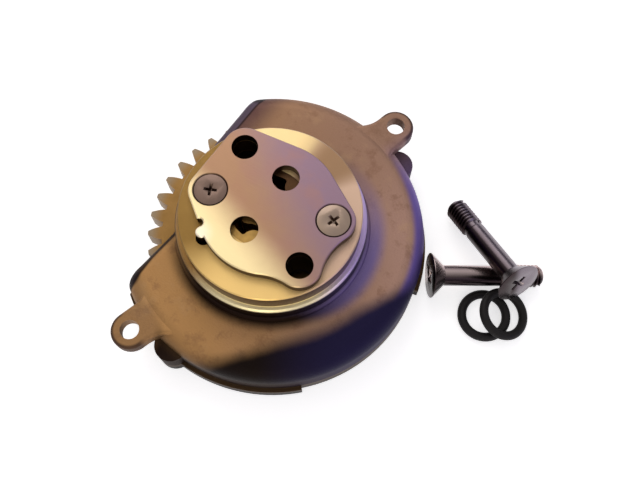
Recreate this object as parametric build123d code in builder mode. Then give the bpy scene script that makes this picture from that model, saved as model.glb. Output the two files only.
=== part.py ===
from build123d import *
from math import acos, asin, atan2, cos, degrees, pi, radians, sin, sqrt, tan
import os

# Gear-driven trochoid oil pump of a small engine, in millimetres.
# The shaft is the Z axis, the pump lies on its gear cover at Z 0, the port plate is on top,
# and the opening of the dish, where the engine's gear meets the pump's gear, faces -X.

# Gear case of the body
case_radius = 39.3
case_wall = 4.5
case_roof = 3.6
case_height = 11.0
case_edge_round = 5.0
opening_upper_reach = 26.0
opening_upper_lean = 6.6
opening_lower_reach = 21.8
opening_lower_lean = 12.4
opening_inner_half = 12.5
opening_corner_round = 8.0
opening_edge_round = 3.0

# Ears with the case's own fixing holes
ear_hole_radius = 2.4
ear_reach = 4.35
ear_angles = (70.7, 246.7)
ear_lobe_radius = 4.8
ear_thickness = 3.6
ear_step = 0.4
ear_wide_fillet = 8.0
ear_narrow_fillet = 3.5
ear_edge_round = 1.0
ear_root_cover = 0.2
ear_plate_depth = 13.3

# Spigot that enters the crankcase
rim_radius = 24.1
rim_height = 5.5
disc_radius = 22.6
disc_height = 5.6
spigot_fillet = 1.0
rim_chamfer = 0.6
disc_chamfer = 0.3

# Mounting screws, M6 countersunk, with a slimmer shank behind the thread
mounting_hole_radius = 3.3
mounting_circle_radius = 16.8
mounting_angle = 143.0
mounting_screw_radius = 3.0
mounting_shank_radius = 2.7
mounting_thread_length = 10.0
mounting_head_radius = 5.9
mounting_screw_length = 30.0
mounting_sink_radius = 6.1

# Port plate and its screws, M4 countersunk. Its holes lie round a point beside the shaft.
plate_thickness = 2.7
plate_radius = 17.2
plate_centre = (0.2, 0.6)
plate_mounting_lobe = 5.4
plate_screw_lobe = 5.4
plate_corner_round = 14.0
plate_edge_chamfer = 0.3
plate_screw_circle = 15.4
plate_screw_angle = 13.8
plate_screw_radius = 2.0
plate_screw_hole_radius = 2.25
plate_screw_head_radius = 4.0
plate_screw_length = 12.0
port_radius = 3.4
port_spread = 8.24
port_angle = 82.8
tab_angle = 231.0
tab_reach = 18.7
tab_radius = 1.5
notch_angle = 222.5
notch_radius = 1.0
notch_depth = 1.0

# Relief hole half covered by the plate's edge
relief_radius = 1.9
relief_circle_radius = 17.3
relief_angle = 233.0
relief_depth = 6.0

# Rotor set, four lobes inside five
eccentricity = 1.25
outer_teeth = 5
tooth_circle_radius = 9.2
tooth_radius = 2.9
rotor_length = 9.9
outer_rotor_radius = 10.45
rotor_wall_gap = 0.05
rotor_end_gap = 0.05
rotor_mesh_gap = 0.05
rotor_corner_round = 0.6
valley_crowding = 0.8
points_per_lobe = 12

# Shaft, bushes and pins
shaft_radius = 3.5
shaft_gap = 0.03
shaft_end_gap = 0.3
shaft_chamfer = 0.4
bush_radius = 5.0
bush_gap = 0.02
pin_radius = 1.25
pin_gap = 0.05
pin_angle = 217.8
rotor_pin_length = 11.0
gear_pin_length = 15.0
washer_thickness = 0.6
washer_radius = 8.0
washer_gap = 0.1
circlip_thickness = 0.75
circlip_radius = 5.6
circlip_groove_depth = 0.6
circlip_gap = 0.05
circlip_mouth = 50.0

# Drive gear, profile shifted
gear_teeth = 38
gear_module = 1.6
gear_shift = 0.4
gear_pressure_angle = 20.0
gear_addendum = 1.0
gear_dedendum = 1.25
gear_width = 6.0
gear_tooth_angle = 180.5
gear_rim_radius = 24.6
gear_hub_radius = 9.6
gear_web_thickness = 3.4
gear_window_radius = 6.5
gear_windows = 4
gear_window_angle = 8.0
gear_hub_recess = 1.0

# Gear cover
cover_thickness = 4.0
cover_flange_step = 1.1
cover_floor_top = 3.0
cover_hollow = 0.8
cover_boss_radius = 8.4
cover_boss_top = 4.2
cover_blind_floor = 1.0
cover_opening_offset = 25.8
cover_flush_from = -50.2
cover_flush_to = 8.8
access_radius = 6.6

# Lugs, screws and dowels between body and cover
lug_radius = 4.2
lug_inset = 0.7
lug_angles = (60.0, 258.5)
lug_height = 5.5
dowel_angles = (115.0, 306.0)
dowel_radius = 1.25
dowel_length = 6.0
dowel_gap = 0.02
cover_screw_radius = 1.5
cover_screw_head_radius = 2.75
cover_screw_length = 8.0
thread_gap = 0.05
sink_gap = 0.15
sink_angle = 90.0
head_edge = 0.2
screw_tip_chamfer = 0.5

# Loose O-rings, and the places of the loose pieces from the case's edge on the +X side
ring_section = 2.4
ring_outer_radius = 7.0
ring_a_offset = (18.7, 9.5)
ring_lean_angle = 28.0
ring_offset = 4.8
ring_gap = 0.25
screw_a_offset = (1.5, 11.0)
screw_a_angle = 30.2
screw_b_offset = (-1.5, 33.1)
screw_b_angle = -33.5
screw_b_rise = 19.3

# Circles and levels, worked out from the sizes above
case_bottom = cover_thickness
face_level = case_bottom + case_height
roof_level = face_level - case_roof
rim_level = face_level + rim_height
disc_level = rim_level + disc_height
plate_level = disc_level + plate_thickness
rotor_bottom = disc_level - rotor_end_gap - rotor_length
pocket_floor = rotor_bottom - rotor_end_gap
washer_bottom = roof_level - washer_gap - washer_thickness
gear_top = washer_bottom - washer_gap
gear_bottom = gear_top - gear_width
hub_bottom = gear_bottom + gear_hub_recess
circlip_top = hub_bottom - circlip_gap
circlip_bottom = circlip_top - circlip_thickness
shaft_bottom = cover_blind_floor + shaft_end_gap
shaft_top = disc_level - shaft_end_gap
pocket_angle = port_angle + 90
pocket_radius = outer_rotor_radius + rotor_wall_gap
chamber_radius = case_radius - case_wall
ear_circle_radius = case_radius + ear_reach
cover_flange_radius = case_radius + cover_flange_step
lug_circle_radius = case_radius - lug_inset
dowel_circle_radius = case_radius - case_wall / 2
ring_a_place = (case_radius + ring_a_offset[0], ring_a_offset[1])
screw_a_place = (case_radius + screw_a_offset[0], screw_a_offset[1])
screw_b_tip = (case_radius + screw_b_offset[0], screw_b_offset[1])
rotor_pin_level = rotor_bottom + pin_radius + pin_gap
gear_pin_level = gear_top - pin_radius - pin_gap
ear_top = face_level - ear_step


def polar(radius, angle):
    """Point at a radius and an angle in degrees about the shaft."""
    return radius * cos(radians(angle)), radius * sin(radians(angle))


def opposite_places(radius, angle):
    """Two opposite points round the middle of the port plate's holes."""
    x, y = polar(radius, angle)
    return [(plate_centre[0] + side * x, plate_centre[1] + side * y) for side in (1, -1)]


def save(piece, name):
    """Label a finished piece and write it to the folder of parts."""
    piece.part.label = name
    export_step(piece.part, f"parts/{name}.step")


def sink_radius(head_radius):
    """Mouth of a 90 degree countersink that holds a head just below the surface."""
    return head_radius + head_edge + sink_gap + thread_gap


def countersunk_screw(shank_radius, head_radius, length):
    """Screw along -Z with the flat top of its head at the origin and a 90 degree cone."""
    cone_end = -head_edge - (head_radius - shank_radius)
    with BuildPart() as screw:
        with BuildSketch(Plane.XZ):
            with BuildLine():
                Polyline(
                    (0, 0),
                    (head_radius, 0),
                    (head_radius, -head_edge),
                    (shank_radius, cone_end),
                    (shank_radius, screw_tip_chamfer - length),
                    (shank_radius - screw_tip_chamfer, -length),
                    (0, -length),
                    (0, 0),
                )
            make_face()
        revolve(axis=Axis.Z)
    return screw.part


def opening_outline(shift):
    """Face that the opening of the case takes away, its edge moved towards +X by a shift."""
    far_x = -2 * case_radius
    upper_x = shift - opening_upper_reach
    lower_x = shift - opening_lower_reach
    run = case_radius - opening_inner_half
    with BuildSketch() as outline:
        with BuildLine():
            Polyline(
                (far_x, case_radius),
                (upper_x + run * tan(radians(opening_upper_lean)), case_radius),
                (upper_x, opening_inner_half),
                (lower_x, -opening_inner_half),
                (lower_x - run * tan(radians(opening_lower_lean)), -case_radius),
                (far_x, -case_radius),
                (far_x, case_radius),
            )
        make_face()
        for corner in ((upper_x, opening_inner_half), (lower_x, -opening_inner_half)):
            fillet(outline.vertices().sort_by_distance(corner)[0], opening_corner_round)
    return outline.sketch


def mounting_screw():
    """Countersunk screw whose thread stands out round a slimmer shank."""
    with BuildPart() as thread:
        with BuildSketch(Plane.XY.offset(-mounting_screw_length)):
            Circle(mounting_screw_radius)
        extrude(amount=mounting_thread_length)
        chamfer(thread.edges().filter_by(GeomType.CIRCLE), mounting_screw_radius - mounting_shank_radius)
    with BuildPart() as screw:
        add(countersunk_screw(mounting_shank_radius, mounting_head_radius, mounting_screw_length))
        add(thread.part)
    return screw.part


os.makedirs("parts", exist_ok=True)

outer_centre = polar(eccentricity, pocket_angle)
mounting_places = opposite_places(mounting_circle_radius, mounting_angle)
plate_screw_places = opposite_places(plate_screw_circle, plate_screw_angle)
port_places = [
    (outer_centre[0] + side * polar(port_spread, port_angle)[0],
     outer_centre[1] + side * polar(port_spread, port_angle)[1])
    for side in (1, -1)
]
ear_places = [polar(ear_circle_radius, angle) for angle in ear_angles]
lug_places = [polar(lug_circle_radius, angle) for angle in lug_angles]
dowel_places = [polar(dowel_circle_radius, angle) for angle in dowel_angles]

# Ear outline, blended into the circle that the rounded edge of the case has at the ear's height
ear_drop = case_edge_round - ear_step
ear_root_radius = case_radius - case_edge_round + sqrt(case_edge_round ** 2 - ear_drop ** 2) - ear_root_cover
ear_root_half = degrees(asin(ear_lobe_radius / ear_root_radius))
with BuildSketch(Plane.XY.offset(ear_top - ear_thickness)) as ears:
    Circle(ear_root_radius)
    Rectangle(2 * case_radius, 2 * (case_radius - ear_plate_depth), mode=Mode.SUBTRACT)
    for angle in ear_angles:
        with Locations(Location((0, 0, 0), (0, 0, angle))):
            with Locations(((ear_circle_radius + rim_radius) / 2, 0)):
                Rectangle(ear_circle_radius - rim_radius, 2 * ear_lobe_radius)
            with Locations((ear_circle_radius, 0)):
                Circle(ear_lobe_radius)
    for angle in ear_angles:
        for way, radius in ((1, ear_wide_fillet), (-1, ear_narrow_fillet)):
            corner = polar(ear_root_radius, angle + way * ear_root_half)
            fillet(ears.vertices().sort_by_distance(corner)[0], radius)
with BuildPart() as ear_plate:
    add(ears.sketch)
    extrude(amount=ear_thickness)
    fillet(ear_plate.edges().group_by(Axis.Z)[-1], ear_edge_round)
    with BuildSketch(Plane.XY.offset(case_bottom)):
        add(opening_outline(opening_edge_round))
    extrude(amount=2 * case_height, mode=Mode.SUBTRACT)

# Cast fillet at the foot of the spigot, left off where the opening has taken the case away
foot_inner = rim_radius - spigot_fillet
foot_outer = rim_radius + spigot_fillet
foot_top = face_level + spigot_fillet
with BuildPart() as foot_ring:
    with BuildSketch(Plane.XZ):
        with BuildLine():
            Polyline(
                (foot_outer, face_level),
                (foot_outer, roof_level),
                (foot_inner, roof_level),
                (foot_inner, foot_top),
                (rim_radius, foot_top),
            )
            RadiusArc((rim_radius, foot_top), (foot_outer, face_level), spigot_fillet)
        make_face()
    revolve(axis=Axis.Z)
    with BuildSketch(Plane.XY.offset(roof_level)):
        add(opening_outline(opening_edge_round))
    extrude(amount=2 * case_height, mode=Mode.SUBTRACT)

with BuildPart() as pump_body:
    with BuildSketch(Plane.XY.offset(case_bottom)):
        Circle(case_radius)
    extrude(amount=case_height)
    # Opening for the engine's gear
    with BuildSketch(Plane.XY.offset(case_bottom)):
        add(opening_outline(0))
    extrude(amount=case_height, mode=Mode.SUBTRACT)
    fillet(pump_body.edges().group_by(Axis.Z)[-1].sort_by(Axis.X)[-1], case_edge_round)
    fillet(pump_body.edges().group_by(Axis.Z)[-1].sort_by(Axis.X)[0], opening_edge_round)
    add(ear_plate.part)
    # Lugs for the cover screws
    with BuildSketch(Plane.XY.offset(case_bottom)):
        with Locations(*lug_places):
            Circle(lug_radius)
    extrude(amount=lug_height)
    # Chamber of the gear
    with BuildSketch(Plane.XY.offset(case_bottom)):
        Circle(chamber_radius)
    extrude(amount=roof_level - case_bottom, mode=Mode.SUBTRACT)
    # Spigot: rim and raised disc
    with BuildSketch(Plane.XY.offset(roof_level)):
        Circle(rim_radius)
    extrude(amount=rim_level - roof_level)
    with BuildSketch(Plane.XY.offset(rim_level)):
        Circle(disc_radius)
    extrude(amount=disc_height)
    chamfer(pump_body.edges().group_by(Axis.Z)[-1], disc_chamfer)
    rim_edges = pump_body.edges().filter_by(GeomType.CIRCLE).filter_by_position(Axis.Z, rim_level, rim_level)
    chamfer(rim_edges.sort_by(SortBy.RADIUS)[-1], rim_chamfer)
    add(foot_ring.part)
    # Rotor pocket and the bore of the shaft's bush
    with BuildSketch(Plane.XY.offset(pocket_floor)):
        with Locations(outer_centre):
            Circle(pocket_radius)
    extrude(amount=disc_level - pocket_floor, mode=Mode.SUBTRACT)
    with BuildSketch(Plane.XY.offset(roof_level)):
        Circle(bush_radius + bush_gap)
    extrude(amount=pocket_floor - roof_level, mode=Mode.SUBTRACT)
    # Mounting holes, countersunk from the gear's side
    for place in mounting_places:
        with Locations(Plane(origin=(*place, roof_level), z_dir=(0, 0, -1))):
            CounterSinkHole(
                mounting_hole_radius,
                mounting_sink_radius,
                depth=disc_level - roof_level,
                counter_sink_angle=sink_angle,
            )
    # Threaded holes of the plate screws
    with BuildSketch(Plane.XY.offset(disc_level)):
        with Locations(*plate_screw_places):
            Circle(plate_screw_radius + thread_gap)
    extrude(amount=-plate_screw_length, mode=Mode.SUBTRACT)
    # Relief hole
    with BuildSketch(Plane.XY.offset(disc_level)):
        with Locations(polar(relief_circle_radius, relief_angle)):
            Circle(relief_radius)
    extrude(amount=-relief_depth, mode=Mode.SUBTRACT)
    # Holes of the ears, the cover screws and the dowels
    with BuildSketch(Plane.XY.offset(ear_top)):
        with Locations(*ear_places):
            Circle(ear_hole_radius)
    extrude(amount=-2 * ear_thickness, mode=Mode.SUBTRACT)
    with BuildSketch(Plane.XY.offset(case_bottom)):
        with Locations(*lug_places):
            Circle(cover_screw_radius + thread_gap)
    extrude(amount=cover_screw_length + 2 * sink_gap - cover_thickness, mode=Mode.SUBTRACT)
    with BuildSketch(Plane.XY.offset(case_bottom)):
        with Locations(*dowel_places):
            Circle(dowel_radius + dowel_gap)
    extrude(amount=dowel_length / 2 + dowel_gap, mode=Mode.SUBTRACT)
save(pump_body, "pump_body")

with BuildPart() as body_bush:
    with BuildSketch(Plane.XY.offset(roof_level)):
        Circle(bush_radius)
        Circle(shaft_radius + shaft_gap, mode=Mode.SUBTRACT)
    extrude(amount=pocket_floor - roof_level)
save(body_bush, "body_bush")

# Port plate: a disc drawn out to a lobe round each screw, with a tab and a notch
plate_disc = ((0, 0), plate_radius)
upper_lobe = (mounting_places[0], plate_mounting_lobe)
left_lobe = (plate_screw_places[1], plate_screw_lobe)
right_lobe = (plate_screw_places[0], plate_screw_lobe)
plate_hulls = [(plate_disc, upper_lobe), (plate_disc, right_lobe), (upper_lobe, left_lobe), (plate_disc, left_lobe)]
with BuildPart() as port_plate:
    with BuildSketch(Plane.XY.offset(disc_level)) as plate_outline:
        for lobes in plate_hulls:
            with BuildSketch(mode=Mode.PRIVATE) as hull:
                for place, radius in lobes:
                    with Locations(place):
                        Circle(radius)
                make_hull()
            add(hull.sketch)
        with Locations(mounting_places[1]):
            Circle(plate_mounting_lobe)
        # Growing and shrinking the outline rounds its hollow corners
        offset(amount=plate_corner_round, kind=Kind.ARC, mode=Mode.REPLACE)
        offset(amount=-plate_corner_round, kind=Kind.ARC, mode=Mode.REPLACE)
        with Locations(polar(tab_reach - tab_radius, tab_angle)):
            Circle(tab_radius)
        with Locations(polar(plate_radius + notch_radius - notch_depth, notch_angle)):
            Circle(notch_radius, mode=Mode.SUBTRACT)
    extrude(amount=plate_thickness)
    chamfer(port_plate.edges().group_by(Axis.Z)[-1], plate_edge_chamfer)
    with Locations(*[(*place, plate_level) for place in plate_screw_places]):
        CounterSinkHole(
            plate_screw_hole_radius,
            sink_radius(plate_screw_head_radius),
            depth=plate_thickness,
            counter_sink_angle=sink_angle,
        )
    with BuildSketch(Plane.XY.offset(disc_level)):
        with Locations(*mounting_places):
            Circle(mounting_hole_radius)
        with Locations(*port_places):
            Circle(port_radius)
    extrude(amount=plate_thickness, mode=Mode.SUBTRACT)
save(port_plate, "port_plate")

with BuildPart() as plate_screws:
    with Locations(*[(*place, plate_level - sink_gap) for place in plate_screw_places]):
        add(countersunk_screw(plate_screw_radius, plate_screw_head_radius, plate_screw_length))
save(plate_screws, "plate_screws")


def trochoid_point(share):
    """Point of the inner rotor's outline, which the round teeth envelop as it rolls."""
    lobes = outer_teeth - 1
    turn = 2 * pi * share - valley_crowding * sin(lobes * 2 * pi * share) / lobes
    ratio = tooth_circle_radius / (eccentricity * outer_teeth)
    lag = atan2(sin((1 - outer_teeth) * turn), ratio - cos((1 - outer_teeth) * turn))
    reach = tooth_radius + rotor_mesh_gap
    x = tooth_circle_radius * cos(turn) - reach * cos(turn + lag) - eccentricity * cos(outer_teeth * turn)
    y = -tooth_circle_radius * sin(turn) + reach * sin(turn + lag) + eccentricity * sin(outer_teeth * turn)
    mesh = radians(pocket_angle + 180)
    return x * cos(mesh) - y * sin(mesh), x * sin(mesh) + y * cos(mesh)


with BuildPart() as inner_rotor:
    points = points_per_lobe * (outer_teeth - 1)
    with BuildSketch(Plane.XY.offset(rotor_bottom)):
        with BuildLine():
            Spline(*[trochoid_point(step / points) for step in range(points)], periodic=True)
        make_face()
        Circle(shaft_radius + shaft_gap, mode=Mode.SUBTRACT)
    extrude(amount=rotor_length)
    with BuildSketch(Plane.XY.offset(rotor_bottom)):
        with Locations(Location((0, 0, 0), (0, 0, pin_angle))):
            Rectangle(rotor_pin_length + 2 * pin_gap, 2 * (pin_radius + pin_gap))
    extrude(amount=2 * (pin_radius + pin_gap), mode=Mode.SUBTRACT)
save(inner_rotor, "inner_rotor")

with BuildPart() as outer_rotor:
    with BuildSketch(Plane.XY.offset(rotor_bottom)):
        with Locations(outer_centre):
            Circle(outer_rotor_radius)
        with BuildSketch(mode=Mode.PRIVATE) as star:
            Circle(tooth_circle_radius - tooth_radius + 2 * eccentricity + rotor_mesh_gap)
            with PolarLocations(tooth_circle_radius, outer_teeth, start_angle=pocket_angle + 180):
                Circle(tooth_radius, mode=Mode.SUBTRACT)
            fillet(star.vertices(), rotor_corner_round)
        with Locations(outer_centre):
            add(star.sketch, mode=Mode.SUBTRACT)
    extrude(amount=rotor_length)
save(outer_rotor, "outer_rotor")

with BuildPart() as pump_shaft:
    with BuildSketch(Plane.XY.offset(shaft_bottom)):
        Circle(shaft_radius)
    extrude(amount=shaft_top - shaft_bottom)
    chamfer(pump_shaft.edges().filter_by(GeomType.CIRCLE), shaft_chamfer)
    with BuildSketch(Plane.XY.offset(circlip_bottom - circlip_gap)):
        Circle(circlip_radius)
        Circle(shaft_radius - circlip_groove_depth, mode=Mode.SUBTRACT)
    extrude(amount=circlip_thickness + 2 * circlip_gap, mode=Mode.SUBTRACT)
    for level in (rotor_pin_level, gear_pin_level):
        with BuildSketch(Plane(origin=(0, 0, level), z_dir=(*polar(1, pin_angle), 0))):
            Circle(pin_radius + pin_gap)
        extrude(amount=2 * shaft_radius, both=True, mode=Mode.SUBTRACT)
save(pump_shaft, "pump_shaft")


def cross_pin(level, length):
    """Pin across the shaft at a height."""
    with BuildPart() as pin:
        with BuildSketch(Plane(origin=(0, 0, level), z_dir=(*polar(1, pin_angle), 0))):
            Circle(pin_radius)
        extrude(amount=length / 2, both=True)
    return pin


save(cross_pin(rotor_pin_level, rotor_pin_length), "rotor_drive_pin")
save(cross_pin(gear_pin_level, gear_pin_length), "gear_drive_pin")

with BuildPart() as thrust_washer:
    with BuildSketch(Plane.XY.offset(washer_bottom)):
        Circle(washer_radius)
        Circle(shaft_radius + shaft_gap, mode=Mode.SUBTRACT)
    extrude(amount=washer_thickness)
save(thrust_washer, "thrust_washer")

with BuildPart() as gear_circlip:
    with BuildSketch(Plane.XY.offset(circlip_bottom)):
        Circle(circlip_radius)
        Circle(shaft_radius - circlip_groove_depth + circlip_gap, mode=Mode.SUBTRACT)
        with BuildLine():
            mouth_side = polar(2 * circlip_radius, circlip_mouth / 2)
            Polyline((0, 0), mouth_side, (mouth_side[0], -mouth_side[1]), (0, 0))
        make_face(mode=Mode.SUBTRACT)
    extrude(amount=circlip_thickness)
save(gear_circlip, "gear_circlip")

pitch_radius = gear_module * gear_teeth / 2
base_radius = pitch_radius * cos(radians(gear_pressure_angle))
tip_radius = pitch_radius + gear_module * (gear_addendum + gear_shift)
root_radius = pitch_radius - gear_module * (gear_dedendum - gear_shift)


def involute(angle):
    """Involute function of a pressure angle in radians."""
    return tan(angle) - angle


def flank_point(radius, tooth_angle, side):
    """Point of a tooth's flank at a radius, on one side of the tooth's middle."""
    half_at_pitch = (pi / 2 + 2 * gear_shift * tan(radians(gear_pressure_angle))) / gear_teeth
    half = half_at_pitch + involute(radians(gear_pressure_angle)) - involute(acos(base_radius / radius))
    return polar(radius, tooth_angle + side * degrees(half))


with BuildPart() as drive_gear:
    with BuildSketch(Plane.XY.offset(gear_bottom)):
        with BuildLine():
            pitch_step = 360 / gear_teeth
            middle_radius = (root_radius + tip_radius) / 2
            for tooth in range(gear_teeth):
                angle = gear_tooth_angle + tooth * pitch_step
                rise = [flank_point(r, angle, -1) for r in (root_radius, middle_radius, tip_radius)]
                fall = [flank_point(r, angle, 1) for r in (tip_radius, middle_radius, root_radius)]
                ThreePointArc(*rise)
                Line(rise[-1], fall[0])
                ThreePointArc(*fall)
                next_foot = flank_point(root_radius, angle + pitch_step, -1)
                ThreePointArc(fall[-1], polar(root_radius, angle + pitch_step / 2), next_foot)
        make_face()
        Circle(shaft_radius + shaft_gap, mode=Mode.SUBTRACT)
        with PolarLocations(mounting_circle_radius, gear_windows, start_angle=gear_window_angle):
            Circle(gear_window_radius, mode=Mode.SUBTRACT)
    extrude(amount=gear_width)
    # Thinner web between the rim and the hub, on both faces
    side_recess = (gear_width - gear_web_thickness) / 2
    for level, way in ((gear_top, -1), (gear_bottom, 1)):
        with BuildSketch(Plane.XY.offset(level)):
            Circle(gear_rim_radius)
            Circle(gear_hub_radius, mode=Mode.SUBTRACT)
        extrude(amount=way * side_recess, mode=Mode.SUBTRACT)
    # Lower face of the hub, where the circlip bears, and the slot of the cross pin under the washer
    with BuildSketch(Plane.XY.offset(gear_bottom)):
        Circle(gear_hub_radius)
    extrude(amount=gear_hub_recess, mode=Mode.SUBTRACT)
    with BuildSketch(Plane.XY.offset(gear_top)):
        with Locations(Location((0, 0, 0), (0, 0, pin_angle))):
            Rectangle(gear_pin_length + 2 * pin_gap, 2 * (pin_radius + pin_gap))
    extrude(amount=-2 * (pin_radius + pin_gap), mode=Mode.SUBTRACT)
save(drive_gear, "drive_gear")

with BuildPart() as gear_cover:
    with BuildSketch():
        Circle(cover_flange_radius)
        with BuildLine():
            flush_from = polar(2 * case_radius, cover_flush_from)
            flush_to = polar(2 * case_radius, cover_flush_to)
            Polyline((0, 0), flush_from, flush_to, (0, 0))
        make_face(mode=Mode.SUBTRACT)
        Circle(case_radius)
        with Locations((-cover_opening_offset - case_radius, 0)):
            Rectangle(2 * case_radius, 4 * case_radius, mode=Mode.SUBTRACT)
        with Locations(*lug_places):
            Circle(lug_radius)
    extrude(amount=cover_thickness)
    with BuildSketch(Plane.XY.offset(cover_floor_top)):
        Circle(chamber_radius)
    extrude(amount=cover_thickness - cover_floor_top, mode=Mode.SUBTRACT)
    # Hollow underside, so that only the rim rests on a table
    with BuildSketch():
        Circle(chamber_radius)
        with Locations((-cover_opening_offset - case_radius + case_wall, 0)):
            Rectangle(2 * case_radius, 4 * case_radius, mode=Mode.SUBTRACT)
    extrude(amount=cover_hollow, mode=Mode.SUBTRACT)
    # Boss of the shaft's lower bush
    with BuildSketch():
        Circle(cover_boss_radius)
    extrude(amount=cover_boss_top)
    with BuildSketch(Plane.XY.offset(cover_blind_floor)):
        Circle(bush_radius + bush_gap)
    extrude(amount=cover_boss_top - cover_blind_floor, mode=Mode.SUBTRACT)
    # Access holes under the mounting screws
    with BuildSketch():
        with Locations(*mounting_places):
            Circle(access_radius)
    extrude(amount=cover_thickness, mode=Mode.SUBTRACT)
    for place in lug_places:
        with Locations(Plane(origin=(*place, 0), z_dir=(0, 0, -1))):
            CounterSinkHole(
                cover_screw_radius + thread_gap,
                sink_radius(cover_screw_head_radius),
                depth=cover_thickness,
                counter_sink_angle=sink_angle,
            )
    with BuildSketch(Plane.XY.offset(cover_thickness)):
        with Locations(*dowel_places):
            Circle(dowel_radius + dowel_gap)
    extrude(amount=-(dowel_length / 2 + dowel_gap), mode=Mode.SUBTRACT)
save(gear_cover, "gear_cover")

with BuildPart() as cover_bush:
    with BuildSketch(Plane.XY.offset(cover_blind_floor)):
        Circle(bush_radius)
        Circle(shaft_radius + shaft_gap, mode=Mode.SUBTRACT)
    extrude(amount=cover_boss_top - cover_blind_floor)
save(cover_bush, "cover_bush")

with BuildPart() as cover_screws:
    for place in lug_places:
        with Locations(Plane(origin=(*place, sink_gap), z_dir=(0, 0, -1))):
            add(countersunk_screw(cover_screw_radius, cover_screw_head_radius, cover_screw_length))
save(cover_screws, "cover_screws")

with BuildPart() as cover_dowels:
    with BuildSketch(Plane.XY.offset(cover_thickness - dowel_length / 2)):
        with Locations(*dowel_places):
            Circle(dowel_radius)
    extrude(amount=dowel_length)
save(cover_dowels, "cover_dowels")

# Loose mounting screws: one lies on the table, the other leans across the first one's shank
lean = asin((mounting_head_radius - mounting_screw_radius) / mounting_screw_length)
screw_a_way = (*polar(cos(lean), screw_a_angle), -sin(lean))
screw_a_top = (*screw_a_place, mounting_head_radius * cos(lean))
tilt = radians(screw_b_rise)
screw_b_way = (*polar(cos(tilt), screw_b_angle), sin(tilt))
screw_b_end = (*screw_b_tip, mounting_screw_radius * cos(tilt))
screw_b_top = tuple(end + mounting_screw_length * step for end, step in zip(screw_b_end, screw_b_way))
with BuildPart() as mounting_screws:
    with Locations(Plane(origin=screw_a_top, z_dir=tuple(-step for step in screw_a_way))):
        add(mounting_screw())
    with Locations(Plane(origin=screw_b_top, z_dir=screw_b_way)):
        add(mounting_screw())
save(mounting_screws, "mounting_screws")

# Loose O-rings: one flat on the table, the other leaning on it
ring_radius = ring_outer_radius - ring_section / 2
with BuildPart() as inlet_o_ring:
    with Locations((*ring_a_place, ring_section / 2)):
        Torus(ring_radius, ring_section / 2)
save(inlet_o_ring, "inlet_o_ring")

ring_lean = asin((ring_section + ring_gap) / (ring_offset / 2 + ring_radius))
shift = polar(ring_offset, ring_lean_angle)
lean_way = polar(1, ring_lean_angle)
ring_b_centre = (
    ring_a_place[0] + shift[0],
    ring_a_place[1] + shift[1],
    ring_section / 2 + ring_radius * sin(ring_lean),
)
ring_b_normal = (sin(ring_lean) * lean_way[0], sin(ring_lean) * lean_way[1], cos(ring_lean))
with BuildPart() as outlet_o_ring:
    with Locations(Plane(origin=ring_b_centre, z_dir=ring_b_normal)):
        Torus(ring_radius, ring_section / 2)
save(outlet_o_ring, "outlet_o_ring")
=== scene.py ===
import math
import bmesh
import bpy
from mathutils import Matrix, Vector


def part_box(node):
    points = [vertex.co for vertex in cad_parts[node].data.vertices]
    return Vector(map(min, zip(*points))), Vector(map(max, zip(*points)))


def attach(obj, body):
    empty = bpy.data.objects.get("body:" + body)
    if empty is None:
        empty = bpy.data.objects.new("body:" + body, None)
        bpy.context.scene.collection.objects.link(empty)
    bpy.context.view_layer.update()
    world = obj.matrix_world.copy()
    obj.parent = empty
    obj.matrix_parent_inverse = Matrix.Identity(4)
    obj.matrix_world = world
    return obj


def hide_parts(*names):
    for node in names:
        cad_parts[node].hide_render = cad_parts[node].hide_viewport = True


# Oil pump of a small engine, lying on its gear cover with its screws and rings beside it.
# Lengths are in metres. The shaft of the pump is the Z axis.

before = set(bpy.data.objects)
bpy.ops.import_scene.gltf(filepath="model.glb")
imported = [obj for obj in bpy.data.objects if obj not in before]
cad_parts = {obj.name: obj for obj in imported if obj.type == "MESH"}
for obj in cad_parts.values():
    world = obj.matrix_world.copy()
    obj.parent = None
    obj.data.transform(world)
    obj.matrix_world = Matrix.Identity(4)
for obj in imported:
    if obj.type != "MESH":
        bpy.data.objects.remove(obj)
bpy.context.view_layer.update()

MM = 0.001

# Levels and sizes read from the pump itself
plate_low, plate_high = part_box("port_plate")
table_level = 0.0
plate_top = plate_high.z
disc_top = plate_low.z

# Sizes that the materials and the fine pieces follow, as on the pump
rim_radius = 24.1 * MM
rim_top = 20.5 * MM
disc_radius = 22.6 * MM
case_face = 15.0 * MM
case_radius = 39.3 * MM
tip_radius = 32.6 * MM
opening_upper_reach = 26.0 * MM
opening_upper_lean = 6.6
opening_lower_reach = 21.8 * MM
opening_lower_lean = 12.4
opening_inner_half = 12.5 * MM
opening_upper_corner = (-22.9 * MM, 31.4 * MM)
opening_lower_corner = (-24.7 * MM, -28.4 * MM)
ear_circle = 43.65 * MM
ear_angles = (70.7, 246.7)
ear_radius = 4.8 * MM
plate_centre = (0.2 * MM, 0.6 * MM)
tab_reach = 18.7 * MM
tab_angle = 231.0

# Directions of the painted shade, the painted light, the sheen and the scratches about the shaft, in
# degrees
shade_and_highlight_side = 312.0
deep_shade_side = 321.0
blue_edge_shade_side = 352.0
violet_light_side = 10.0
foot_violet_light_side = 18.0
blue_wall_shade_side = 20.0
shaded_side = 110.0
sheen_angle = 250.0
scratch_angle = 35.0

# Grain of the metals
skin_grain = 0.5 * MM
metal_grain = 0.4 * MM
fine_grain = 0.3 * MM
turned_pitch = 0.22 * MM

# Plate screws
plate_screw_circle = 15.4 * MM
plate_screw_angle = 13.8
plate_screw_head = 4.0 * MM
plate_screw_shank = 2.0 * MM
plate_screw_length = 12.0 * MM
sink_gap = 0.15 * MM
head_edge = 0.2 * MM
tip_chamfer = 0.5 * MM
screw_edge_round = 0.07 * MM
root_step = 0.3 * MM

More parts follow.
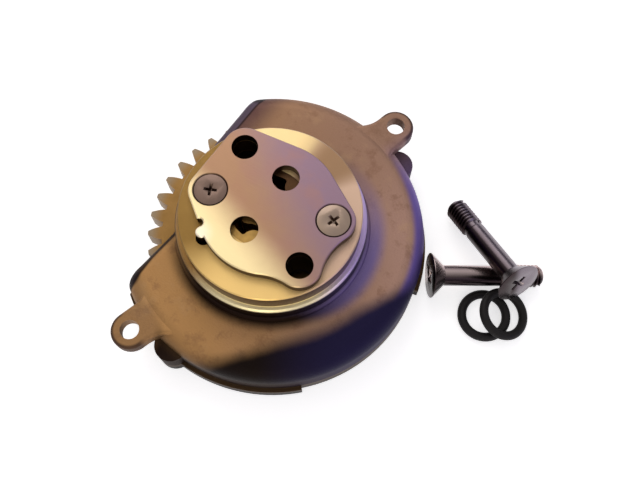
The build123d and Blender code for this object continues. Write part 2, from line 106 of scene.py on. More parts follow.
# Cross recess, as shares of the radius of the screw's head, and its taper
recess_reach = 0.46
recess_width = 0.2
recess_depth = 0.42
recess_foot = 0.45
recess_mouth = 1.3

# Cover screws
cover_screw_circle = 38.6 * MM
cover_screw_angles = (60.0, 258.5)
cover_screw_head = 2.75 * MM
cover_screw_shank = 1.5 * MM
cover_screw_length = 8.0 * MM

# Loose mounting screws
mounting_head = 5.9 * MM
mounting_shank = 2.7 * MM
mounting_thread = 3.0 * MM
mounting_root = 2.45 * MM
mounting_length = 30.0 * MM
thread_length = 10.0 * MM
thread_pitch = 1.0 * MM
ridge_share = 0.9
crest_share = 0.15
ridge_seat = 0.1 * MM
steps_per_turn = 36
screw_a_place = (40.8 * MM, 11.0 * MM)
screw_a_angle = 30.2
screw_b_tip = (37.8 * MM, 33.1 * MM)
screw_b_angle = -33.5
screw_b_rise = 19.3

# Loose rings
ring_section = 2.4 * MM
ring_outer = 7.0 * MM
ring_seam = 0.03 * MM
seam_width = 0.07 * MM
ring_a_place = (58.0 * MM, 9.5 * MM)
ring_lean_angle = 28.0
ring_offset = 4.8 * MM
ring_gap = 0.25 * MM

# Camera of the photograph
camera_turn = 28.3
camera_rise = 70.0
camera_roll = 0.6
camera_place = (45.46 * MM, -58.71 * MM, 206.73 * MM)
picture_width = 640
focal_pixels = 803
sensor_width = 36.0
nearest_view = 0.01

# Room
floor_size = 4.0
floor_gap = 0.05 * MM
floor_glow = 0.62
smooth_angle = 40.0
white = (1.0, 1.0, 1.0, 1.0)
black = (0.0, 0.0, 0.0, 1.0)


def polar(radius, angle):
    """Point at a radius and an angle in degrees about the shaft."""
    return radius * math.cos(math.radians(angle)), radius * math.sin(math.radians(angle))


def paint(red, green, blue):
    """Colour as it is seen on a screen, 0 to 255, made linear for a shader."""
    shades = []
    for shade in (red, green, blue):
        share = shade / 255
        shades.append(share / 12.92 if share <= 0.04045 else ((share + 0.055) / 1.055) ** 2.4)
    return (*shades, 1.0)


screw_reach = polar(plate_screw_circle, plate_screw_angle)
ears = [polar(ear_circle, angle) for angle in ear_angles]


class Wire:
    """A socket of a material that sums, products and the like can be written with."""

    def __init__(self, finish, socket):
        self.finish = finish
        self.socket = socket

    def maths(self, operation, first, second):
        return self.finish.add("ShaderNodeMath", {"operation": operation}, {0: first, 1: second})

    def __add__(self, other):
        return self.maths("ADD", self, other)

    def __radd__(self, other):
        return self.maths("ADD", other, self)

    def __sub__(self, other):
        return self.maths("SUBTRACT", self, other)

    def __rsub__(self, other):
        return self.maths("SUBTRACT", other, self)

    def __mul__(self, other):
        return self.maths("MULTIPLY", self, other)

    def __rmul__(self, other):
        return self.maths("MULTIPLY", other, self)

    def __truediv__(self, other):
        return self.maths("DIVIDE", self, other)

    def __pow__(self, other):
        return self.maths("POWER", self, other)


class Finish:
    """The nodes of a material or of the room, all added by the method add."""

    def __init__(self, block, shader="Principled BSDF", **settings):
        block.use_nodes = True
        self.block = block
        self.tree = block.node_tree
        self.shader = self.tree.nodes[shader]
        self.set(settings)

    def set(self, values):
        """Gives the shader's sockets a number, a colour or a wire, by the sockets' names."""
        for name, value in values.items():
            self.feed(self.shader.inputs[name.replace("_", " ")], value)

    def feed(self, socket, value):
        if isinstance(value, Wire):
            self.tree.links.new(value.socket, socket)
        else:
            socket.default_value = value

    def add(self, kind, settings=None, values=None, output=0):
        """Adds a node: its settings first, then the numbers and wires of its sockets."""
        node = self.tree.nodes.new(kind)
        for name, value in (settings or {}).items():
            setattr(node, name, value)
        for name, value in (values or {}).items():
            self.feed(node.inputs[name], value)
        return Wire(self, node.outputs[output])

    def place(self):
        return self.add("ShaderNodeTexCoord", output="Object")

    def split(self):
        """The three coordinates of a point, and its distance from the shaft's axis."""
        place = self.place()
        x, y, z = [self.add("ShaderNodeSeparateXYZ", {}, {0: place}, output=axis) for axis in range(3)]
        return x, y, z, (x * x + y * y) ** 0.5

    def noise(self, grain, detail=3.0, roughness=0.5, stretch=(1, 1, 1), turn=0.0):
        """Cloudy pattern whose patches are about grain metres wide, from 0 to 1."""
        values = {"Vector": self.place(), "Scale": stretch, "Rotation": (0, 0, math.radians(turn))}
        place = self.add("ShaderNodeMapping", {}, values)
        values = {"Vector": place, "Scale": 1 / grain, "Detail": detail, "Roughness": roughness}
        return self.add("ShaderNodeTexNoise", {}, values)

    def step(self, value, low, high):
        """Rises smoothly from 0 to 1 as the value goes from low to high."""
        settings = {"interpolation_type": "SMOOTHSTEP"}
        return self.add("ShaderNodeMapRange", settings, {"Value": value, "From Min": low, "From Max": high})

    def band(self, value, low, high, blur):
        """1 between two values and 0 outside them."""
        return self.step(value, low - blur, low + blur) * (1 - self.step(value, high - blur, high + blur))

    def along(self, angle):
        """Distance from the shaft towards the side of the pump that an angle points to."""
        x, y, z, radius = self.split()
        return x * math.cos(math.radians(angle)) + y * math.sin(math.radians(angle))

    def facing(self, angle, low, high):
        """Rises from 0 to 1 towards the side of the pump that an angle points to."""
        x, y, z, radius = self.split()
        return self.step(self.along(angle) / radius, low, high)

    def near(self, place, low, high):
        """1 close to an upright line through a place, 0 from a distance away."""
        x, y, z, radius = self.split()
        gap = ((x - place[0]) ** 2 + (y - place[1]) ** 2) ** 0.5
        return 1 - self.step(gap, low, high)

    def mix(self, share, first, second):
        """Colour between two others."""
        return self.add("ShaderNodeMix", {"data_type": "RGBA"}, {0: share, 6: first, 7: second}, output=2)

    def rough(self, height, depth, strength=1.0):
        """Small relief of the surface, from a height between 0 and 1 and its depth in metres."""
        values = {"Height": height, "Distance": depth, "Strength": strength}
        self.set({"Normal": self.add("ShaderNodeBump", {}, values)})

    def grained(self, gloss, spread, grain, depth):
        """Fine grain in the roughness, upwards from gloss, and in the relief."""
        fine = self.noise(grain, 3.0, 0.6)
        self.set({"Roughness": gloss + fine * spread})
        self.rough(fine, depth, 0.5)
        return self.block

    def seen(self):
        """1 for rays that come straight from the camera or off a shiny surface."""
        kinds = [self.add("ShaderNodeLightPath", output=name)
                 for name in ("Is Camera Ray", "Is Glossy Ray", "Is Transmission Ray")]
        return kinds[0] + kinds[1] + kinds[2]


def metal(name, metallic=1.0):
    return Finish(bpy.data.materials.new(name), Metallic=metallic)


def case_skin(finish, clouds):
    """Skin of the casting: warm beside the lower ear, turning cooler and violet beside the loose screws as
    painted light, with painted shade on the shaded side, stains and worn patches.
    """
    across = finish.along(camera_turn)
    # Painted light: the skin turns cooler and violet towards the loose screws.
    cool_light_tint = finish.step(across + clouds * 20 * MM, -10 * MM, 45 * MM)
    skin = finish.mix(cool_light_tint, paint(176, 134, 86), paint(166, 132, 118))
    # Painted shade on one side of the case.
    skin = finish.mix(finish.facing(shaded_side, 0.1, 0.9) * 0.6, skin, paint(140, 108, 88))
    stains = finish.step(finish.noise(4 * MM, 5.0, 0.62), 0.5, 0.7)
    skin = finish.mix(stains * 0.38, skin, paint(120, 84, 64))
    worn = finish.step(finish.noise(6 * MM, 5.0, 0.6), 0.52, 0.75)
    return finish.mix(worn * 0.3, skin, paint(184, 150, 112))


def case_edge(finish, skin, clouds):
    """Ears a little darker with painted shade along their outer rims, painted violet light near the case's
    edge, and painted shade on the edge of the case on the side away from the opening.
    """
    x, y, z, radius = finish.split()
    ear_tone = finish.near(ears[0], 5 * MM, 9 * MM) * 0.5 + finish.near(ears[1], 5 * MM, 9 * MM)
    inner, outer = ear_radius - 1.1 * MM, ear_radius - 0.4 * MM
    ear_body = finish.near(ears[0], inner, outer) + finish.near(ears[1], inner, outer)
    # Painted shade along the outer rims of the ears.
    outline = (1 - ear_body) * finish.step(radius, ear_circle - 1.5 * MM, ear_circle + 0.5 * MM)
    skin = finish.mix(ear_tone * 0.45, skin, paint(122, 94, 72))
    skin = finish.mix(outline * 0.85, skin, paint(66, 48, 42))
    # Painted violet light along the outer edge of the case on one side.
    violet = finish.step(radius, 35.4 * MM, 37.4 * MM) * finish.facing(violet_light_side, 0.5, 0.88) * 0.9
    skin = finish.mix(violet, skin, paint(108, 91, 172))
    # Painted shade on the edge of the case, reaching further in on one side, near-black there and bluer
    # towards another side.
    inward = finish.facing(deep_shade_side, 0.62, 1.0) * 9 * MM
    edge = finish.step(radius + inward + clouds * 2 * MM, 37.2 * MM, 42.5 * MM)
    edge = edge * finish.facing(shade_and_highlight_side, -0.1, 0.5) * (1 - finish.near(ears[1], 5.5 * MM, 8 * MM))
    edge_shade_colour = finish.mix(finish.facing(blue_edge_shade_side, 0.5, 0.93), paint(24, 15, 12), paint(33, 28, 60))
    return finish.mix(edge, skin, edge_shade_colour)


def case_foot(finish, skin):
    """Painted shadow round the foot of the spigot, with painted violet light on the side of the loose
    screws.
    """
    x, y, z, radius = finish.split()
    # Painted shadow at the foot of the spigot, turning into painted violet light on one side.
    foot_violet_light = finish.facing(foot_violet_light_side, 0.4, 0.97)
    foot = 1 - finish.step(radius - foot_violet_light * 2 * MM, rim_radius + 0.5 * MM, rim_radius + 4.2 * MM)
    foot_shade_colour = finish.mix(foot_violet_light, paint(28, 14, 8), paint(120, 104, 152))
    return finish.mix(foot * (finish.facing(shade_and_highlight_side, -0.3, 0.6) * 0.7 + 0.3), skin, foot_shade_colour)


def opening_lip(finish, skin):
    """Rounded lip of the opening in painted shade, painted shade beside its upper half, painted shadow at
    its corners and a painted shadow line beside its upper half.
    """
    x, y, z, radius = finish.split()
    upper = finish.step(y, -1 * MM, 1 * MM)
    upper_lean = math.tan(math.radians(opening_upper_lean))
    lower_lean = math.tan(math.radians(opening_lower_lean))
    upper_edge = (y - opening_inner_half) * upper_lean - opening_upper_reach
    lower_edge = (y + opening_inner_half) * lower_lean - opening_lower_reach
    inside = x - (upper * upper_edge + (1 - upper) * lower_edge)
    lip_width = upper * 1.2 * MM + finish.step(-1 * y, 20 * MM, 31 * MM) * 1.2 * MM + 1.5 * MM
    lip = 1 - finish.step(inside - lip_width, -0.3 * MM, 0.4 * MM)
    # Painted shade beside the upper half of the opening and on the lip itself.
    shade = (1 - finish.step(inside, 3 * MM, 11 * MM)) * upper
    skin = finish.mix(shade * 0.85, skin, paint(92, 64, 66))
    skin = finish.mix(lip * 0.95, skin, finish.mix(upper, paint(34, 20, 14), paint(88, 75, 90)))
    # Painted shadow: a dark line beside the upper half of the opening and dark spots at its two corners.
    line = finish.band(inside, 2.6 * MM, 3.1 * MM, 0.3 * MM) * upper
    for corner in (opening_upper_corner, opening_lower_corner):
        line = line + finish.near(corner, 1.4 * MM, 3.0 * MM)
    return finish.mix(line * 0.9, skin, paint(34, 24, 28))


def spigot_painted_light(finish, wall_shade_colour):
    """Spigot: walls in painted shade, then the rim and the top of the disc with painted highlights and
    painted violet light, and painted shade in the middle below the disc's top.
    """
    x, y, z, radius = finish.split()
    # Painted highlight on the rim on one side, and painted violet light on another.
    rim = finish.mix(finish.facing(shade_and_highlight_side, 0.3, 0.8), paint(150, 114, 66), paint(255, 240, 192))
    rim = finish.mix(finish.facing(22, 0.5, 0.95), rim, paint(186, 164, 212))
    # Painted shade on the side wall of the disc, violet on one side.
    shaded = finish.mix(finish.facing(14, 0.3, 0.9), paint(94, 58, 14), paint(84, 60, 78))
    disc = finish.mix(finish.noise(6 * MM, 4.0), paint(130, 100, 52), paint(156, 122, 68))
    # Painted highlights on the top of the disc, and a little painted shade towards one side.
    for angle, low, high, share, tone in (
            (295, 0.4, 0.95, 1.0, paint(238, 200, 128)),
            (28, 0.1, 0.85, 1.0, paint(204, 172, 150)),
            (112, 0.84, 0.99, 1.0, paint(236, 208, 152)),
            (68, 0.92, 0.995, 0.9, paint(144, 112, 82))):
        disc = finish.mix(finish.facing(angle, low, high) * share, disc, tone)
    spigot = finish.mix(finish.step(z, rim_top - 0.6 * MM, rim_top - 0.3 * MM), wall_shade_colour, rim)
    groove = finish.band(z, rim_top + 0.25 * MM, disc_top - 0.4 * MM, 0.1 * MM)
    spigot = finish.mix(groove, spigot, shaded)
    spigot = finish.mix(finish.step(z, disc_top - 0.4 * MM, disc_top - 0.3 * MM), spigot, disc)
    # Painted shade in the middle, below the top of the disc.
    bore = 1 - finish.step(radius, disc_radius - 4 * MM, disc_radius - 3.6 * MM)
    bore = bore * (1 - finish.step(z, disc_top - 0.2 * MM, disc_top - 0.1 * MM))
    return finish.mix(bore, spigot, paint(60, 40, 26))


def cast_aluminium():
    """Die-cast body: grey-brown case with stains, painted shade on its lower walls and edges and painted
    violet light, turned on the spigot, where painted highlights make it bright.
    """
    finish = metal("cast_aluminium", 0.9)
    x, y, z, radius = finish.split()
    clouds = finish.noise(12 * MM, 4.0)
    grain = finish.noise(skin_grain, 3.0, 0.65)
    # Painted shade on the lower walls of the case, bluer on one side.
    wall_shade_colour = finish.mix(finish.facing(blue_wall_shade_side, 0.1, 0.7), paint(46, 32, 25), paint(56, 48, 74))
    wall = 1 - finish.step(z + clouds * 2 * MM, 9 * MM, 13 * MM)
    skin = case_edge(finish, case_skin(finish, clouds), clouds)
    skin = finish.mix(wall, skin, wall_shade_colour)
    skin = opening_lip(finish, case_foot(finish, skin))
    turned = finish.step(z, case_face + 0.8 * MM, case_face + 1.2 * MM)
    finish.set({"Base_Color": finish.mix(turned, skin, spigot_painted_light(finish, wall_shade_colour))})
    finish.set({"Roughness": 0.52 + grain * 0.14 - turned * 0.2 + wall * 0.1})
    rings = finish.add("ShaderNodeMath", {"operation": "SINE"}, {0: radius * (2 * math.pi / turned_pitch)})
    relief = (1 - turned) * grain + turned * (rings * 0.06 + 0.5)
    finish.rough(relief, 0.12 * MM, 0.6)
    return finish.block


def cover_aluminium():
    """Cast cover, dark at its edge, partly its own oily colour and partly painted shade under the case."""
    finish = metal("cover_aluminium", 0.9)
    clouds = finish.noise(10 * MM, 4.0)
    grain = finish.noise(skin_grain, 3.0, 0.65)
    x, y, z, radius = finish.split()
    # Dark edge of the cover, partly its own colour and partly painted shade, darkest low down.
    edge = finish.step(radius, case_radius - 1.2 * MM, case_radius + 0.3 * MM)
    under = finish.mix(clouds, paint(140, 122, 102), paint(172, 152, 128))
    dark = finish.mix(finish.step(z, 2.6 * MM, 2.9 * MM), paint(30, 23, 19), paint(74, 55, 36))
    finish.set({"Base_Color": finish.mix(edge, under, dark)})
    finish.set({"Roughness": 0.48 + grain * 0.16})
    finish.rough(grain, 0.1 * MM, 0.6)
    return finish.block


def ground_plate():
    """Ground steel of the port plate, with fine straight scratches and oily stains, painted violet light
    across one side, a painted sheen along its lower edge, a painted highlight on its tab, and painted shade
    round the screw heads and on its side wall.
    """
    finish = metal("ground_plate")
    x, y, z, radius = finish.split()
    clouds = finish.noise(9 * MM, 4.0, 0.55)
    scratches = finish.noise(0.35 * MM, 2.0, 0.7, stretch=(0.06, 1, 1), turn=scratch_angle)
    across = x * 0.62 + y * 0.78 + clouds * 12 * MM
    # Painted violet light across the plate towards one side.
    face = finish.mix(finish.step(across, 1 * MM, 19 * MM), paint(168, 131, 104), paint(144, 118, 134))
    face = finish.mix(finish.step(clouds, 0.45, 0.7) * 0.4, face, paint(168, 124, 106))
    # Painted sheen: a pale highlight along the lower edge of the plate.
    sheen = finish.along(sheen_angle) + clouds * 3 * MM
    face = finish.mix(finish.step(sheen, 5 * MM, 16 * MM), face, paint(250, 228, 176))
    # Painted highlight on the tab.
    tab = finish.near(polar(tab_reach, tab_angle), 1 * MM, 5 * MM)
    face = finish.mix(tab * 0.8, face, paint(255, 246, 226))
    # Painted shade in the gap round each screw head.
    for side in (1, -1):
        place = (plate_centre[0] + side * screw_reach[0], plate_centre[1] + side * screw_reach[1])
        ring = finish.near(place, plate_screw_head + 0.15 * MM, plate_screw_head + 0.5 * MM)
        face = finish.mix(ring * 0.85, face, paint(74, 54, 46))
    # Painted shade on the side wall of the plate.
    edge = 1 - finish.step(z, plate_top - 0.4 * MM, plate_top - 0.2 * MM)
    finish.set({"Base_Color": finish.mix(edge, face, paint(58, 38, 24))})
    finish.set({"Roughness": 0.32 + clouds * 0.12 + scratches * 0.08})
    finish.rough(scratches, 0.03 * MM, 0.5)
    return finish.block


def sintered_gear():
    """Gear steel, golden with oil and a little greyer at the teeth's tips."""
    finish = metal("sintered_gear")
    x, y, z, radius = finish.split()
    clouds = finish.noise(4 * MM, 4.0)
    tips = finish.step(radius, tip_radius - 3.5 * MM, tip_radius)
    body = finish.mix(clouds, paint(128, 96, 52), paint(158, 122, 74))
    finish.set({"Base_Color": finish.mix(tips, body, paint(142, 126, 106))})
    return finish.grained(0.42, 0.15, fine_grain, 0.05 * MM)


def plain_metal(name, dark, light, gloss):
    """Metal with a cloudy colour and a fine grain."""
    finish = metal(name)
    finish.set({"Base_Color": finish.mix(finish.noise(6 * MM, 4.0), dark, light)})
    return finish.grained(gloss, 0.12, metal_grain, 0.04 * MM)


def sintered_rotor():
    """Rotor steel, golden under the lower port and browner under the upper one."""
    finish = metal("rotor_steel")
    x, y, z, radius = finish.split()
    colour = finish.mix(finish.step(y, -6 * MM, 6 * MM), paint(196, 156, 88), paint(84, 60, 40))
    finish.set({"Base_Color": finish.mix(finish.noise(2 * MM, 4.0) * 0.6, colour, paint(70, 50, 36))})
    return finish.grained(0.26, 0.12, metal_grain, 0.04 * MM)


def loose_steel(name, place, angle, dull, bright):
    """Steel of a loose screw, with painted shade along one side."""
    finish = metal(name)
    x, y, z, radius = finish.split()
    turn = math.radians(angle)
    side = (y - place[1]) * math.cos(turn) - (x - place[0]) * math.sin(turn)
    colour = finish.mix(finish.noise(6 * MM, 4.0), dull, bright)
    # Painted shade along the underside of the screw.
    unshaded_side = finish.step(side, -1.6 * MM, 1.0 * MM)
    finish.set({"Base_Color": finish.mix(unshaded_side, paint(56, 46, 47), colour)})
    return finish.grained(0.18, 0.12, metal_grain, 0.04 * MM)


def black_rubber():
    """Matt black rubber with a faint grey bloom."""
    finish = metal("black_rubber", 0.0)
    bloom = finish.noise(3 * MM, 4.0)
    finish.set({"Base_Color": finish.mix(bloom, paint(10, 8, 9), paint(26, 22, 23))})
    finish.set({"Roughness": 0.5 + bloom * 0.15, "Specular_IOR_Level": 0.25})
    finish.rough(finish.noise(fine_grain), 0.02 * MM, 0.5)
    return finish.block


cast = cast_aluminium()
cover_cast = cover_aluminium()
plate = ground_plate()
gear_steel = sintered_gear()
rotor_steel = sintered_rotor()
bright_screw = plain_metal("bright_screw", paint(138, 120, 108), paint(160, 140, 126), 0.28)
dull_screw = plain_metal("dull_screw", paint(108, 90, 82), paint(128, 106, 96), 0.34)
loose_steel_a = loose_steel("loose_steel_a", screw_a_place, screw_a_angle,
                            paint(168, 150, 150), paint(214, 194, 192))
loose_steel_b = loose_steel("loose_steel_b", screw_b_tip, screw_b_angle,
                            paint(98, 90, 96), paint(136, 126, 134))
turned_steel = plain_metal("turned_steel", paint(150, 146, 142), paint(186, 182, 176), 0.2)
bronze = plain_metal("bronze", paint(150, 106, 58), paint(182, 136, 82), 0.32)
rubber = black_rubber()

FINISHES = {
    "pump_body": cast,
    "gear_cover": cover_cast,
    "port_plate": plate,
    "drive_gear": gear_steel,
    "inner_rotor": rotor_steel,
    "outer_rotor": rotor_steel,
    "plate_screws": bright_screw,
    "cover_screws": dull_screw,
    "mounting_screws": loose_steel_a,
    "body_bush": bronze,
    "cover_bush": bronze,
    "inlet_o_ring": rubber,
    "outlet_o_ring": rubber,
}
for name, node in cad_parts.items():
    node.data.materials.clear()
    node.data.materials.append(FINISHES.get(name, turned_steel))


def begin(primitive, **values):
    """Adds a primitive by itself and opens it for editing."""
    bpy.ops.object.select_all(action="DESELECT")
    primitive(**values)
    bpy.ops.object.mode_set(mode="EDIT")
    return bpy.context.object


def pick(kind, test):
    """Selects the faces or the vertices whose place passes a test."""
    bpy.ops.mesh.select_mode(type=kind)
    bpy.ops.mesh.select_all(action="DESELECT")
    shape = bmesh.from_edit_mesh(bpy.context.object.data)
    for item in shape.faces if kind == "FACE" else shape.verts:
        place = item.calc_center_median() if kind == "FACE" else item.co
        item.select_set(bool(test(place)))
    shape.select_flush_mode()
    bmesh.update_edit_mesh(bpy.context.object.data)


def pull(along, scale=1.0):
    """Extrudes what is selected and narrows it about the Z axis."""
    bpy.ops.mesh.extrude_region_move(TRANSFORM_OT_translate={"value": along})
    bpy.ops.transform.resize(value=(scale, scale, 1), center_override=(0, 0, 0))


def apply(item, kind, **settings):
    """Adds a modifier to a piece and applies it."""
    bpy.ops.object.select_all(action="DESELECT")
    item.select_set(True)
    bpy.context.view_layer.objects.active = item
    change = item.modifiers.new(kind.lower(), kind)
    for name, value in settings.items():
        setattr(change, name, value)
    bpy.ops.object.modifier_apply(modifier=change.name)


def cross_cutter(reach, width, depth):
    """Tapered cross that cuts the recess of a screw head whose top is at Z 0."""
    cutter = begin(bpy.ops.mesh.primitive_cube_add, size=width)
    bpy.ops.transform.resize(value=(1, 1, 2 * depth / width), center_override=(0, 0, 0))
    for way in ((1, 0), (0, 1), (-1, 0), (0, -1)):
        pick("FACE", lambda place: place.x * way[0] + place.y * way[1] > 0.49 * width
             and abs(place.x * way[1]) + abs(place.y * way[0]) < 0.1 * width)
        pull((way[0] * (reach - width / 2), way[1] * (reach - width / 2), 0))
    pick("VERT", lambda place: place.z < 0)
    bpy.ops.transform.resize(value=(recess_foot, recess_foot, 1), center_override=(0, 0, 0))
    pick("VERT", lambda place: place.z > 0)
    bpy.ops.transform.resize(value=(recess_mouth, recess_mouth, 1), center_override=(0, 0, 0))
    bpy.ops.object.mode_set(mode="OBJECT")
    return cutter


def countersunk_screw(name, head, shank, length, root=None, threaded=0.0):
    """Screw along -Z with the flat top of its head at Z 0, and a cross recess in it."""
    screw = begin(bpy.ops.mesh.primitive_cylinder_add, vertices=64, radius=head, depth=head_edge,
                  location=(0, 0, -head_edge / 2))
    bpy.ops.object.mode_set(mode="OBJECT")
    bpy.ops.object.transform_apply(location=True, rotation=True, scale=True)
    bpy.ops.object.mode_set(mode="EDIT")
    screw.name = name
    pick("FACE", lambda place: place.z < -0.99 * head_edge)
    pull((0, 0, shank - head), shank / head)
    cone_end = head_edge + head - shank
    if root:
        pull((0, 0, threaded - length + cone_end + root_step))
        pull((0, 0, -root_step), root / shank)
        pull((0, 0, tip_chamfer - threaded))
        pull((0, 0, -tip_chamfer), (root - tip_chamfer) / root)
    else:
        pull((0, 0, tip_chamfer - length + cone_end))
        pull((0, 0, -tip_chamfer), (shank - tip_chamfer) / shank)
    bpy.ops.object.mode_set(mode="OBJECT")
    cutter = cross_cutter(recess_reach * head, recess_width * head, recess_depth * head)
    apply(screw, "BOOLEAN", operation="DIFFERENCE", object=cutter, solver="EXACT")
    bpy.data.objects.remove(cutter)
    apply(screw, "BEVEL", width=screw_edge_round, segments=2,
          limit_method="ANGLE", angle_limit=math.radians(35))
    return screw


def thread_ridge(root, crest, bottom, height):
    """Screw thread as a ridge that winds up round a shank."""
    turns = int(height / thread_pitch) - 1
    size = ridge_share * thread_pitch
    low = bottom + size / 2
    ridge = begin(bpy.ops.mesh.primitive_plane_add, size=size, location=(root, 0, low),
                  rotation=(math.pi / 2, 0, 0))
    bpy.ops.object.mode_set(mode="OBJECT")
    bpy.ops.object.transform_apply(location=True, rotation=True, scale=True)
    bpy.ops.object.mode_set(mode="EDIT")
    pick("VERT", lambda place: place.x > root)
    bpy.ops.transform.resize(value=(1, 1, crest_share), center_override=(0, 0, low))
    bpy.ops.transform.translate(value=(crest - root - size / 2, 0, 0))
    pick("VERT", lambda place: place.x < root)
    bpy.ops.transform.translate(value=(size / 2 - ridge_seat, 0, 0))
    bpy.ops.mesh.select_all(action="SELECT")
    bpy.ops.mesh.delete(type="ONLY_FACE")
    bpy.ops.object.mode_set(mode="OBJECT")
    apply(ridge, "SCREW", screw_offset=thread_pitch, iterations=turns,
          steps=steps_per_turn, render_steps=steps_per_turn)
    bpy.ops.object.mode_set(mode="EDIT")
    bpy.ops.mesh.select_all(action="SELECT")
    bpy.ops.mesh.fill_holes(sides=4)
    bpy.ops.mesh.select_all(action="SELECT")
    bpy.ops.mesh.normals_make_consistent(inside=False)
    bpy.ops.object.mode_set(mode="OBJECT")
    return ridge


def join(first, second):
    """Makes two pieces one."""
    bpy.ops.object.select_all(action="DESELECT")
    second.select_set(True)
    first.select_set(True)
    bpy.context.view_layer.objects.active = first
    bpy.ops.object.join()
    return first


def copy(piece, name):
    """Copy of a piece with its own mesh."""
    twin = piece.copy()
    twin.data = piece.data.copy()
    twin.name = name
    bpy.context.scene.collection.objects.link(twin)
    return twin


def settle(piece, place, upward, turn, finish, node):
    """Puts a piece in its place, as one that stands for a node of the pump."""
    tilt = Vector(upward).to_track_quat("Z", "Y").to_matrix().to_4x4()
    piece.matrix_world = Matrix.Translation(place) @ tilt @ Matrix.Rotation(math.radians(turn), 4, "Z")
    bpy.ops.object.select_all(action="DESELECT")
    piece.select_set(True)
    bpy.context.view_layer.objects.active = piece
    bpy.ops.object.transform_apply(location=True, rotation=True, scale=True)
    bpy.ops.object.shade_smooth_by_angle(angle=math.radians(smooth_angle))
    piece.data.materials.clear()
    piece.data.materials.append(finish)
    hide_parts(node)
    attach(piece, "housing")


# Plate screws, heads up in the port plate
right_screw = countersunk_screw("plate_screw_right", plate_screw_head, plate_screw_shank,
                                plate_screw_length)
left_screw = copy(right_screw, "plate_screw_left")
head_level = plate_top - sink_gap
for piece, side, turn, steel in ((right_screw, 1, 66.0, bright_screw), (left_screw, -1, 20.0, dull_screw)):
    place = [middle + side * reach for middle, reach in zip(plate_centre, screw_reach)]
    settle(piece, (*place, head_level), (0, 0, 1), turn, steel, "plate_screws")

# Cover screws, heads down in the gear cover
cover_screw = countersunk_screw("cover_screw_a", cover_screw_head, cover_screw_shank, cover_screw_length)
second_cover_screw = copy(cover_screw, "cover_screw_b")
for piece, angle in zip((cover_screw, second_cover_screw), cover_screw_angles):
    place = (*polar(cover_screw_circle, angle), sink_gap)
    settle(piece, place, (0, 0, -1), angle, dull_screw, "cover_screws")

# Loose mounting screws with rolled threads
screw_a = countersunk_screw("mounting_screw_a", mounting_head, mounting_shank, mounting_length,
                            mounting_root, thread_length)
ridge = thread_ridge(mounting_root, mounting_thread, tip_chamfer - mounting_length,
                     thread_length - tip_chamfer)
screw_a = join(screw_a, ridge)
screw_b = copy(screw_a, "mounting_screw_b")
lean = math.asin((mounting_head - mounting_thread) / mounting_length)
way = (*polar(math.cos(lean), screw_a_angle), -math.sin(lean))
settle(screw_a, (*screw_a_place, mounting_head * math.cos(lean)), [-step for step in way], 10.0,
       loose_steel_a, "mounting_screws")
tilt = math.radians(screw_b_rise)
way = (*polar(math.cos(tilt), screw_b_angle), math.sin(tilt))
end = (*screw_b_tip, mounting_thread * math.cos(tilt))
settle(screw_b, [low + mounting_length * step for low, step in zip(end, way)], way, 40.0,
       loose_steel_b, "mounting_screws")


def o_ring(name):
    """Rubber ring with the fine seam of its mould round the outside."""
    middle = ring_outer - ring_section / 2
    section = ring_section / 2 - ring_seam
    ring = begin(bpy.ops.mesh.primitive_torus_add, major_segments=112, minor_segments=32,
                 major_radius=middle, minor_radius=section)
    ring.name = name
    pick("VERT", lambda place: place.xy.length > middle + 0.999 * section)
    bpy.ops.mesh.bevel(offset=seam_width, segments=1, affect="EDGES")
    bpy.ops.mesh.extrude_region_shrink_fatten(TRANSFORM_OT_shrink_fatten={"value": ring_seam})
    bpy.ops.object.mode_set(mode="OBJECT")
    return ring


# Loose rings: one flat on the table, the other leaning on it
ring_a = o_ring("ring_flat")
ring_b = copy(ring_a, "ring_leaning")
ring_middle = ring_outer - ring_section / 2
ring_lean = math.asin((ring_section + ring_gap) / (ring_offset / 2 + ring_middle))
shift = polar(ring_offset, ring_lean_angle)
settle(ring_a, (*ring_a_place, ring_section / 2), (0, 0, 1), 0.0, rubber, "inlet_o_ring")
place = (ring_a_place[0] + shift[0], ring_a_place[1] + shift[1],
         ring_section / 2 + ring_middle * math.sin(ring_lean))
upward = (*polar(math.sin(ring_lean), ring_lean_angle), math.cos(ring_lean))
settle(ring_b, place, upward, 0.0, rubber, "outlet_o_ring")

# Floor
bpy.ops.object.select_all(action="DESELECT")
bpy.ops.mesh.primitive_plane_add(size=floor_size, location=(0, 0, table_level - floor_gap))
floor = bpy.context.object
floor.name = "floor"
table = Finish(bpy.data.materials.new("table_paint"), Roughness=0.9, Base_Color=(0.93, 0.93, 0.93, 1.0))
table.set({"Emission_Color": table.mix(table.seen(), black, white), "Emission_Strength": floor_glow})
floor.data.materials.append(table.block)

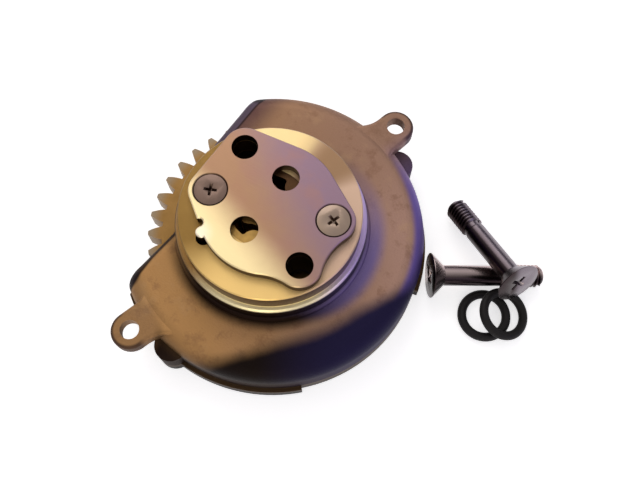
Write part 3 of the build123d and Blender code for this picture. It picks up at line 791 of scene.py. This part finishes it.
# Light: a pale room and four soft lamps
world = bpy.data.worlds.new("room")
bpy.context.scene.world = world
room = Finish(world, "Background", Strength=1.0)
aim = room.add("ShaderNodeTexCoord", output="Generated")
height = room.add("ShaderNodeSeparateXYZ", {}, {0: aim}, output=2)
studio = room.mix(room.step(height, 0.02, 0.75), (0.16, 0.15, 0.2, 1.0), (0.8, 0.79, 0.78, 1.0))
pale = room.mix(room.add("ShaderNodeLightPath", output="Is Camera Ray"), studio, white)
room.set({"Color": room.mix(room.seen(), (0.4, 0.39, 0.42, 1.0), pale)})


def lamp(name, turn, rise, distance, size, power, colour):
    """Soft square lamp that shines on the pump from a direction given in degrees."""
    data = bpy.data.lights.new(name, "AREA")
    data.size = size
    data.energy = power
    data.color = colour
    item = bpy.data.objects.new(name, data)
    bpy.context.scene.collection.objects.link(item)
    flat = distance * math.cos(math.radians(rise))
    item.location = (*polar(flat, turn), distance * math.sin(math.radians(rise)))
    item.rotation_mode = "QUATERNION"
    item.rotation_quaternion = (-item.location).to_track_quat("-Z", "Y")


lamp("window_lamp", 130, 38, 0.7, 0.5, 1.5, (1.0, 0.97, 0.93))
lamp("glow_lamp", 172, 68, 0.65, 0.2, 0.08, (1.0, 0.86, 0.56))
lamp("rim_lamp", 290, 22, 0.6, 0.25, 0.5, (1.0, 0.94, 0.74))
lamp("cool_lamp", 352, 16, 0.7, 0.35, 0.4, (0.7, 0.64, 1.0))

# Camera, where the photograph was taken from
data = bpy.data.cameras.new("camera")
data.sensor_width = sensor_width
data.lens = focal_pixels * sensor_width / picture_width
data.clip_start = nearest_view
camera = bpy.data.objects.new("camera", data)
bpy.context.scene.collection.objects.link(camera)
ahead = Vector((
    -math.sin(math.radians(camera_turn)) * math.cos(math.radians(camera_rise)),
    math.cos(math.radians(camera_turn)) * math.cos(math.radians(camera_rise)),
    -math.sin(math.radians(camera_rise)),
))
level = Vector((math.cos(math.radians(camera_turn)), math.sin(math.radians(camera_turn)), 0))
roll = Matrix.Rotation(math.radians(-camera_roll), 3, ahead)
right = roll @ level
above = right.cross(ahead)
camera.rotation_mode = "QUATERNION"
camera.rotation_quaternion = Matrix((right, above, -ahead)).transposed().to_quaternion()
camera.location = camera_place
bpy.context.scene.camera = camera

bpy.context.scene.view_settings.view_transform = "Standard"
